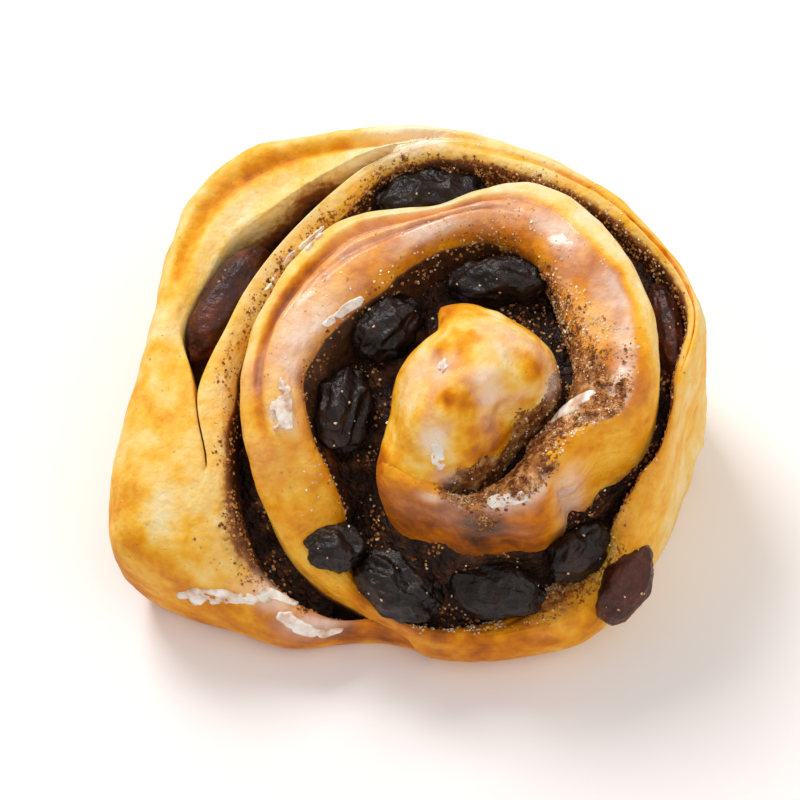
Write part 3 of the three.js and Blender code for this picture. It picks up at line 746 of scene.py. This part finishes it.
# %% The filling's strip
filling_inner_level = {
    4: 21, 60: 22, 90: 24, 110: 26, 180: 27, 230: 25, 270: 21, 300: 18.5, 345: 17.5, 385: 17.6, 415: 18,
    440: 19.5, 460: 22, 490: 24.5, 540: 27, 560: 26, 585: 21.5, 632: 16, 662: 5.5,
}
filling_outer_level = {
    4: 20.5, 60: 21.5, 90: 23.5, 110: 25.5, 180: 27, 230: 24, 270: 17, 300: 9, 345: 5.4, 385: 4.4, 405: 5.6,
    421: 9, 440: 14, 460: 20, 490: 24, 540: 26.5, 560: 26, 585: 20.5, 632: 15, 662: 5,
}
overlap = 0.5
foot_gap, foot_width, foot_height = 0.3, 1.6, 0.05
filling_start, filling_end = 4, 662
angle = np.linspace(filling_start, filling_end, 900)[:, None]
across = np.linspace(0, 1, 34)[None]
inside_shoulder = np.where(angle < rim_start, along(knob_shoulder, angle), along(outer_side, angle - 360))
inner_level = along(filling_inner_level, angle)
outer_level = along(filling_outer_level, angle)


def gap_side(level, side, radius, shoulder):
    """The gap's radius at a height on one side, on the straight line from its foot to its shoulder."""
    return mix(gap_foot(angle, side), radius, np.minimum(1, level / shoulder)) + side * overlap


inside = gap_side(inner_level, -1, along(gap_inner_radius, angle), inside_shoulder)
outside = gap_side(outer_level, 1, gap_outer(angle), along(inner_shoulder, angle))
top = roll_point(angle, mix(inside, outside, across), mix(inner_level, outer_level, across))
top[..., 2] += 0.9 * lumps(top, 3.2) + 0.7 * np.abs(lumps(top + 40, 1.5)) + 0.4 * np.abs(lumps(top + 60, 0.8))
foot = roll_point(angle, gap_foot(angle, 1) - foot_gap - across[:, ::-11] * foot_width, foot_height)
filling_grid = np.concatenate([top, foot], axis=1)
filling = swept_piece("cinnamon_filling", [filling_grid])

# %% [markdown]
# ## The raisins
# A raisin is a dried grape whose skin has shrunk into folds that run mostly along it. Each one is a
# flattened bead. Its folds are noise drawn out along the bead and folded at its middle value, which makes
# sharp ridges between rounded valleys.

# %% Raisins
# Each raisin: its middle from the roll's foot, its length, width and height, its heading and its rise.
raisin_places = [
    ((-33.8, 21.6, 21.2), (17.4, 6.0, 9.0), 62, 10),
    ((-8.3, 34.0, 27.0), (13.6, 6.8, 6.6), 12, -3),
    ((1.4, 19.6, 29.4), (12.4, 6.2, 6.2), 0, 4),
    ((-12.2, 14.2, 27.6), (9.2, 6.8, 6.0), 45, 8),
    ((-17.2, 5.2, 23.6), (10.6, 7.2, 6.4), 84, 14),
    ((-17.9, -9.4, 15.6), (7.4, 5.8, 5.8), 172, 0),
    ((-10.4, -12.2, 11.6), (11.0, 8.4, 8.6), 150, 10),
    ((1.2, -12.5, 11.4), (11.6, 6.8, 7.8), 172, 4),
    ((11.2, -8.7, 14.2), (8.4, 5.6, 7.4), 40, 24),
    ((21.4, 16.4, 23.4), (13.6, 4.6, 6.0), 102, 8),
    ((16.7, -11.4, 11.4), (10.6, 5.6, 6.6), 58, 30),
]
maroon = {0, 9, 10}
fold_depth, maroon_share = 0.48, 0.6
polar = np.pi * np.linspace(0, 1, 72)[1:-1][None]
around = 2 * np.pi * np.linspace(0, 1, 72, endpoint=False)[:, None]
raisins = []
raisin_grids = []
for index, (place, size, heading, rise) in enumerate(raisin_places):
    half = np.array(size) / 2
    wrinkle = (1 + 0.07 * np.sin(3 * around + index) * np.sin(polar)
               + 0.05 * np.sin(5 * polar + 2 * index) * np.cos(2 * around))
    bead = np.stack(np.broadcast_arrays(
        half[0] * np.cos(polar), half[1] * np.sin(polar) * np.cos(around) * wrinkle,
        half[2] * np.sin(polar) * np.sin(around) * wrinkle), axis=-1)
    outward = bead / half**2
    outward /= np.linalg.norm(outward, axis=-1, keepdims=True)
    folds = 1 - 2 * np.abs(lumps(bead + 60 * index, (3.6, 1.4, 1.4))) ** 0.7
    folds += 0.45 - 0.9 * np.abs(lumps(bead + 90 * index, (2.2, 0.8, 0.8))) ** 0.7
    depth = fold_depth * (maroon_share if index in maroon else 1)
    bead = bead + outward * (folds * depth - 0.3 * depth)[..., None]
    lift = Matrix.Rotation(-np.radians(rise), 3, "Y")
    turning = np.array(Matrix.Rotation(np.radians(heading), 3, "Z") @ lift).T
    first, turned, last = (points @ turning + roll_centre + place
                           for points in (half * (1, 0, 0), bead, half * (-1, 0, 0)))
    raisins.append(ball_piece(f"raisin_skin_{index + 1:02d}", first, turned, last))
    raisin_grids.append(turned)

# %% [markdown]
# ## Sugar and cinnamon grains
# Coarse sugar and cinnamon fell beside the gap and never melted. Each grain is a small cube, jittered out of
# true, turned at random and half sunk. The mask that colours the specks also places the grains of cinnamon,
# so they lie thickest where the dough is stained.

# %% Grains
sugar_density = {
    -98: 0, -34: 0.1, -15: 1, 70: 1, 100: 0.7, 130: 0.4, 160: 0.2, 200: 0.06, 270: 0.05, 370: 0.3, 400: 0.5,
    430: 0.15, 560: 0.06, 580: 0, 660: 0, 692: 0.05,
}
cube = np.array([[x, y, z] for x in (-1, 1) for y in (-1, 1) for z in (-1, 1)], float)
cube_faces = np.array([[0, 1, 3, 2], [4, 6, 7, 5], [0, 4, 5, 1], [2, 3, 7, 6], [0, 2, 6, 4], [1, 5, 7, 3]])
draw = np.random.default_rng(21)


def drawn_places(grid, mask, count):
    """Random places on a grid's quads, each quad drawn by its area times the mask at its corner."""
    along_row = grid[:-1, 1:] - grid[:-1, :-1]
    along_column = grid[1:, :-1] - grid[:-1, :-1]
    weight = np.linalg.norm(np.cross(along_row, along_column), axis=-1) * mask[:-1, :-1]
    chosen = draw.choice(weight.size, count, p=(weight / weight.sum()).ravel())
    row, column = np.divmod(chosen, weight.shape[1])
    u, v = draw.uniform(size=(2, count, 1))
    near = mix(grid[row, column], grid[row + 1, column], u)
    far = mix(grid[row, column + 1], grid[row + 1, column + 1], u)
    return mix(near, far, v)


def grain_piece(name, beds, smallest, largest):
    """One mesh of small crooked cubes, sizes in millimetres, with their middles on the beds. Each bed is a
    grid, its mask and how many grains lie on it."""
    places = np.concatenate([drawn_places(*bed) for bed in beds])
    count = len(places)
    turns = np.linalg.qr(draw.normal(size=(count, 3, 3)))[0]
    turns *= np.sign(np.linalg.det(turns))[:, None, None]
    size = draw.uniform(smallest, largest, (count, 1, 1)) * draw.uniform(0.6, 1, (count, 1, 3)) / 2
    corners = (cube + draw.uniform(-0.3, 0.3, (count, 8, 3))) * size @ turns + places[:, None]
    faces = cube_faces + 8 * np.arange(count)[:, None, None]
    return new_piece(name, corners.reshape(-1, 3), faces.reshape(-1, 4).tolist(), smooth_shaded=False)


shows = (strip_place > -0.12) & (strip_place < 1.02)
clumps = smooth(-0.3, 0.5, lumps(strip_blended, 2.4))
sugar_mask = along(sugar_density, strip_angle) * fade(0.16, 0.5, strip_place) * clumps * shows
clusters = smooth(-0.5, 0.3, lumps(strip_blended + 8, 1.8))
cinnamon_mask = np.maximum(strip_paint["specks"] - 0.2, 0) ** 1.5 * clusters * shows
knob_mask = specks + 0.001
on_top = np.arange(filling_grid.shape[1])[None] < across.size - 1
filling_mask = on_top * smooth(-0.2, 0.6, lumps(filling_grid, 3))
sugar_beds = [(strip_blended, sugar_mask, 2200), (knob_blended, knob_mask, 300),
              (filling_grid, filling_mask, 160)]
sugar_beds += [(grid, grid[..., 2] > grid[..., 2].mean(), 7) for grid in raisin_grids]
cinnamon_beds = [(strip_blended, cinnamon_mask, 7500), (knob_blended, knob_mask, 400),
                 (filling_grid, filling_mask, 1500)]
sugar = grain_piece("sugar_grains", sugar_beds, smallest=0.12, largest=0.32)
cinnamon_grains = grain_piece("cinnamon_grains", cinnamon_beds, smallest=0.14, largest=0.4)

# %% [markdown]
# ## Icing
# Where the brush left more icing it dried to a white skin with a ragged edge. A smear is a thin closed body
# whose top follows the dough at a height read from noise, below the dough all round, so that the edge you
# see is where the two cross.

# %% Icing smears
# Each smear: where it starts and ends and half its width, as (turn angle, place), and its thickness.
strip_smears = [
    ((649.5, 0.95), (659, 0.34), (1.1, 0.08), 0.34), ((655.5, 0.34), (662, 0.14), (1.2, 0.07), 0.3),
    ((661, 0.36), (671, 0.8), (1.1, -0.11), 0.34), ((576, 0.16), (586, 0.24), (0.5, -0.03), 0.4),
    ((583, 0.24), (594, 0.22), (0.6, 0.03), 0.4), ((226, 0.66), (219, 0.7), (0.6, 0.03), 0.35),
    ((256, 0.27), (271, 0.34), (1, -0.07), 0.5), ((93, 0.14), (104, 0.16), (0.8, 0.12), 0.25),
    ((6, 0.5), (36, 0.5), (1.2, 0.11), 0.14), ((222, 0.1), (238, 0.14), (0.8, 0.05), 0.25),
]
knob_smears = [((238, 0.5), (256, 0.34), (12, 0.07), 0.22), ((316, 0.66), (330, 0.94), (5, -0.03), 0.1)]
smear_depth = 0.5


def surface_at(angle, place, grid, normals, rows_at, columns_at):
    """Points and normals between a grid's rows and columns, each a blend of the four around it."""
    row = np.interp(angle, rows_at, np.arange(len(rows_at)))
    column = np.interp(place, columns_at, np.arange(len(columns_at)))
    i = np.minimum(row.astype(int), len(rows_at) - 2)
    j = np.minimum(column.astype(int), len(columns_at) - 2)
    u = (row - i)[..., None]
    v = (column - j)[..., None]
    return [mix(mix(field[i, j], field[i + 1, j], u), mix(field[i, j + 1], field[i + 1, j + 1], u), v)
            for field in (grid, normals)]


def smear_body(smear, carrier):
    """Sections across the smear: along its top, then back underneath."""
    *corners, thick = smear
    start, end, half = np.array(corners)
    way = end - start
    if way[0] * half[1] < way[1] * half[0]:
        half = -half
    t = np.linspace(0, 1, 90)[:, None, None]
    s = np.linspace(-1, 1, 44)[None, :, None]
    angle, place = np.moveaxis(start + way * t + half * s, -1, 0)
    points, normals = surface_at(angle, place, *carrier)
    plump = (1 - s[..., 0] ** 2) * (1 - (2 * t[..., 0] - 1) ** 4)
    ragged = 1 + 0.9 * lumps(points + 66, 1.6) + 0.9 * lumps(points + 12, 0.6)
    height = mix(-smear_depth, thick, smooth(-0.1, 0.35, plump * ragged - 0.2)) + 0.05 * lumps(points, 0.5)
    top = points + normals * height[..., None]
    under = points - normals * 2 * smear_depth
    return np.concatenate([top, under[:, ::-1]], axis=1)


on_strip = (strip_blended, strip_normals, strip_angle[:, 0], strip_place[0])
on_dome = (knob_blended, knob_normals, knob_angle[:, 0], out[0])
icing = swept_piece("icing", [smear_body(smear, on_strip) for smear in strip_smears]
                    + [smear_body(smear, on_dome) for smear in knob_smears])

# %% [markdown]
# ## Finishes
# The dough's colour is mixed from its four masks. One node group breaks up every finish with grain at two
# sizes, so that no surface of the bun is one flat colour.

# %% Material helpers
def linear(code):
    """A colour from its six-figure code, in linear light."""
    value = np.array([int(code[i:i + 2], 16) for i in (0, 2, 4)]) / 255
    value = np.where(value < 0.04045, value / 12.92, ((value + 0.055) / 1.055) ** 2.4)
    return (*value, 1)


class Nodes:
    """A node tree that is filled by short calls."""

    def __init__(self, tree):
        self.tree = tree

    def put(self, socket, value):
        """Links the socket to another one, or sets it to a constant."""
        if isinstance(value, bpy.types.NodeSocket):
            self.tree.links.new(value, socket)
        else:
            socket.default_value = value

    def node(self, kind, *entries, **settings):
        """A new node with these settings and with the entries on its first sockets."""
        node = self.tree.nodes.new(kind)
        for key, setting in settings.items():
            setattr(node, key, setting)
        for socket, entry in zip(node.inputs, entries):
            self.put(socket, entry)
        return node


def grain_group():
    """Noise at two sizes about zero: Coarse and Fine, from Object coordinates."""
    group = bpy.data.node_groups.new("grain", "ShaderNodeTree")
    nodes = Nodes(group)
    sizes = ("Coarse", "Fine")
    for names, way in (([f"{name} per metre" for name in sizes], "INPUT"), (sizes, "OUTPUT")):
        for name in names:
            group.interface.new_socket(name, in_out=way, socket_type="NodeSocketFloat")
    start, end, place = map(nodes.node, ("NodeGroupInput", "NodeGroupOutput", "ShaderNodeTexCoord"))
    for name in sizes:
        noise = nodes.node("ShaderNodeTexNoise")
        nodes.put(noise.inputs["Vector"], place.outputs["Object"])
        nodes.put(noise.inputs["Scale"], start.outputs[f"{name} per metre"])
        nodes.put(noise.inputs["Detail"], 4)
        centred = nodes.node("ShaderNodeMath", noise.outputs["Fac"], 0.5, operation="SUBTRACT")
        nodes.put(end.inputs[name], centred.outputs[0])
    return group


grain = grain_group()


class Finish(Nodes):
    """A material under construction: each call adds a node and returns its output socket."""

    def __init__(self, name, **constants):
        self.material = bpy.data.materials.new(name)
        self.material.use_nodes = True
        super().__init__(self.material.node_tree)
        self.wear(**constants)

    def wear(self, **values):
        """Puts values on the shader's sockets, with _ for each space in a socket's name."""
        for name, value in values.items():
            self.put(self.tree.nodes["Principled BSDF"].inputs[name.replace("_", " ")], value)

    def times(self, a, b, clamp=False):
        return self.node("ShaderNodeMath", a, b, operation="MULTIPLY", use_clamp=clamp).outputs[0]

    def plus(self, value, source, share=1, clamp=False):
        """The value and a share of the source together."""
        node = self.node("ShaderNodeMath", source, share, value, operation="MULTIPLY_ADD", use_clamp=clamp)
        return node.outputs[0]

    def value(self, name):
        return self.node("ShaderNodeAttribute", attribute_name=name).outputs["Fac"]

    def grain(self, *scales):
        return self.node("ShaderNodeGroup", *scales, node_tree=grain).outputs

    def ramp(self, factor, stops):
        node = self.node("ShaderNodeValToRGB", factor)
        elements = node.color_ramp.elements
        while len(elements) < len(stops):
            elements.new(0.5)
        for element, (place, code) in zip(elements, stops):
            element.position = place
            element.color = linear(code)
        return node.outputs["Color"]

    def step(self, *entries):
        """A smooth step: of a value, from low to high, to a start and an end in place of 0 and 1."""
        return self.node("ShaderNodeMapRange", *entries, interpolation_type="SMOOTHSTEP").outputs[0]

    def blend(self, factor, a, b):
        node = self.node("ShaderNodeMix", factor, data_type="RGBA")
        self.put(node.inputs[6], a)
        self.put(node.inputs[7], b)
        return node.outputs[2]

    def bump(self, height, distance):
        node = self.node("ShaderNodeBump")
        self.put(node.inputs["Height"], height)
        self.put(node.inputs["Distance"], distance)
        self.wear(Normal=node.outputs[0])

    def dress(self, *pieces):
        for piece in pieces:
            piece.data.materials.append(self.material)


def grainy_finish(name, scales, stops, bump_distance=0, **constants):
    """A finish whose colour runs through the stops with its coarse grain, and with bumps from both grains."""
    finish = Finish(name, **constants)
    coarse, small = finish.grain(*scales)
    finish.wear(Base_Color=finish.ramp(finish.plus(0.5, coarse), stops))
    if bump_distance:
        finish.bump(finish.plus(coarse, small), bump_distance)
    return finish


# %% [markdown]
# Baked dough runs from cream through golden to brown. Where cinnamon soaked in, and where shade is painted in
# the pocket, the open fold and the knob's crevice, a second run of browns takes over, specks of cinnamon lie
# on top, and the icing film turns the colour to a pale pink and makes it shine. Pores are painted shade: fine
# noise above a threshold, so they come out as separate dark points.

# %% Baked dough
dough = Finish("baked_dough", Specular_IOR_Level=0.14, Subsurface_Weight=0.06, Subsurface_Scale=0.002,
               Coat_Roughness=0.14)
coarse, small = dough.grain(170, 1100)
medium, fine = dough.grain(620, 2400)
bake = dough.plus(dough.plus(dough.value("bake"), coarse, 0.26), small, 0.24, clamp=True)
crust = dough.ramp(bake, [
    (0, "F8E2AE"), (0.18, "F6D07E"), (0.34, "F5BA3E"), (0.5, "E8980C"), (0.64, "CE7606"), (0.78, "AA5808"),
    (0.9, "7C3E0E"), (1, "4E2A14"),
])
# Painted shade of tiny pores: fine noise above a threshold darkens the crust in dark points.
pore_shade = dough.step(dough.plus(fine, medium, 0.6), 0.2, 0.27, 0, 0.45)
crust = dough.blend(pore_shade, crust, linear("8A4E1C"))
# Cinnamon stain and painted shade take the same run of browns.
soak_and_shade = dough.plus(dough.value("soak_and_shade"), small, 0.5)
brown = dough.ramp(soak_and_shade, [(0.1, "C58C44"), (0.4, "93592C"), (0.65, "5E3820"), (0.9, "38200F")])
crust = dough.blend(dough.step(soak_and_shade, 0.02, 0.4), crust, brown)
cinnamon = dough.ramp(dough.plus(0.5, medium), [
    (0.34, "6B3A1C"), (0.48, "9A5F30"), (0.6, "C58A4C"), (0.74, "EAC79A")])
speck = dough.step(dough.plus(fine, dough.value("specks"), 0.42), 0.27, 0.33)
crust = dough.blend(speck, crust, cinnamon)
film = dough.value("film")
patches = dough.times(film, dough.plus(0.6, medium, 0.96), clamp=True)
dough.wear(Base_Color=dough.blend(patches, crust, linear("F4DCCB")), Coat_Weight=dough.times(film, 0.7),
           Roughness=dough.step(film, 0, 0.8, 0.52, 0.3))
dough.bump(dough.plus(dough.plus(coarse, small, 0.5), speck, 0.3), 0.0005)
dough.dress(strip, knob)

# %% [markdown]
# The filling is melted sugar and cinnamon: nearly black, with warm brown patches and a wet shine. A raisin
# is as dark, or redder where its skin is thin. Sugar is clear enough to glow, cinnamon is dull, and dry
# icing is white and a little waxy.

# %% Filling, raisins, grains and icing
sticky = grainy_finish("cinnamon_filling", (420, 1600), [
    (0.3, "1C0E07"), (0.5, "30190D"), (0.62, "4C2A16"), (0.8, "7E4C26"),
], 0.0008, Roughness=0.42, Specular_IOR_Level=0.25)
sticky.dress(filling)


def raisin_finish(name, *colours):
    """A raisin's skin, with its colours from the darkest to the lightest."""
    stops = zip((0.3, 0.52, 0.75), colours)
    return grainy_finish(name, (300, 1500), list(stops), 0.0003, Roughness=0.36, Specular_IOR_Level=0.35)


black_skin = raisin_finish("raisin_black", "0C0705", "1A0F0A", "36201A")
maroon_skin = raisin_finish("raisin_maroon", "2A100A", "4C2012", "74381E")
for index, raisin in enumerate(raisins):
    (maroon_skin if index in maroon else black_skin).dress(raisin)

crystal = grainy_finish("sugar", (900, 2500), [(0.38, "C99660"), (0.5, "E6C69C"), (0.66, "FBEAD4")],
                        Roughness=0.22, Subsurface_Weight=0.2, Subsurface_Scale=0.0005)
crystal.dress(sugar)
dull = grainy_finish("cinnamon_grain", (900, 2500), [
    (0.34, "5E3216"), (0.46, "96592A"), (0.56, "C48848"), (0.68, "E6B680"),
], Roughness=0.7, Specular_IOR_Level=0.25)
dull.dress(cinnamon_grains)
waxy = grainy_finish("icing", (500, 1800), [(0.35, "D2AC8C"), (0.48, "EEDCCC"), (0.62, "FDF4EC")], 0.0002,
                     Roughness=0.38, Subsurface_Weight=0.25, Subsurface_Scale=0.001)
waxy.dress(icing)

# %% [markdown]
# ## Floor and light
# A plain pale floor and a pale sky give soft, bright light. A lamp behind and above makes the shine on the
# iced crests, and a broader, weaker one stands for the room in front.

# %% Floor and light
floor_reach = 3000
corners = np.array([(-1, -1, 0), (1, -1, 0), (1, 1, 0), (-1, 1, 0)])
floor = new_piece("floor", floor_reach * corners, [(0, 1, 2, 3)], smooth_shaded=False)
pale = Finish("pale_floor", Base_Color=linear("F6F2F1"), Roughness=0.8)
pale.dress(floor)

world = bpy.data.worlds.new("sky")
world.use_nodes = True
background = world.node_tree.nodes["Background"].inputs
background["Color"].default_value = linear("FFFCFA")
background["Strength"].default_value = 0.58
bpy.context.scene.world = world


def area_light(name, place, size, power):
    """A square lamp that faces the bun, its place and size in metres and its power in watts."""
    data = bpy.data.lights.new(name, "AREA")
    data.size = size
    data.energy = power
    lamp = placed(name, data)
    lamp.location = place
    lamp.rotation_euler = (Vector(place) - Vector((0, 0, 0.02))).to_track_quat("Z", "Y").to_euler()


area_light("window", place=(-0.35, 0.55, 0.75), size=0.36, power=6.5)
area_light("room", place=(0.5, -0.3, 0.8), size=0.8, power=2.4)
bpy.context.scene.view_settings.view_transform = "Standard"

# %% [markdown]
# ## Joining and finishing
# Every piece rides on the model's root. The dough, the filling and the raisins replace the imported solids.

# %% Joining the pieces to the model
for piece in (strip, knob):
    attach(piece, "root")
    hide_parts("dough")
for piece, slot in ((sugar, "filling"), (cinnamon_grains, "filling"), (icing, "dough")):
    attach(piece, "root")
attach(filling, "root")
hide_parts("filling")
for index, raisin in enumerate(raisins):
    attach(raisin, "root")
    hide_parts(f"raisin_{index + 1:02d}")
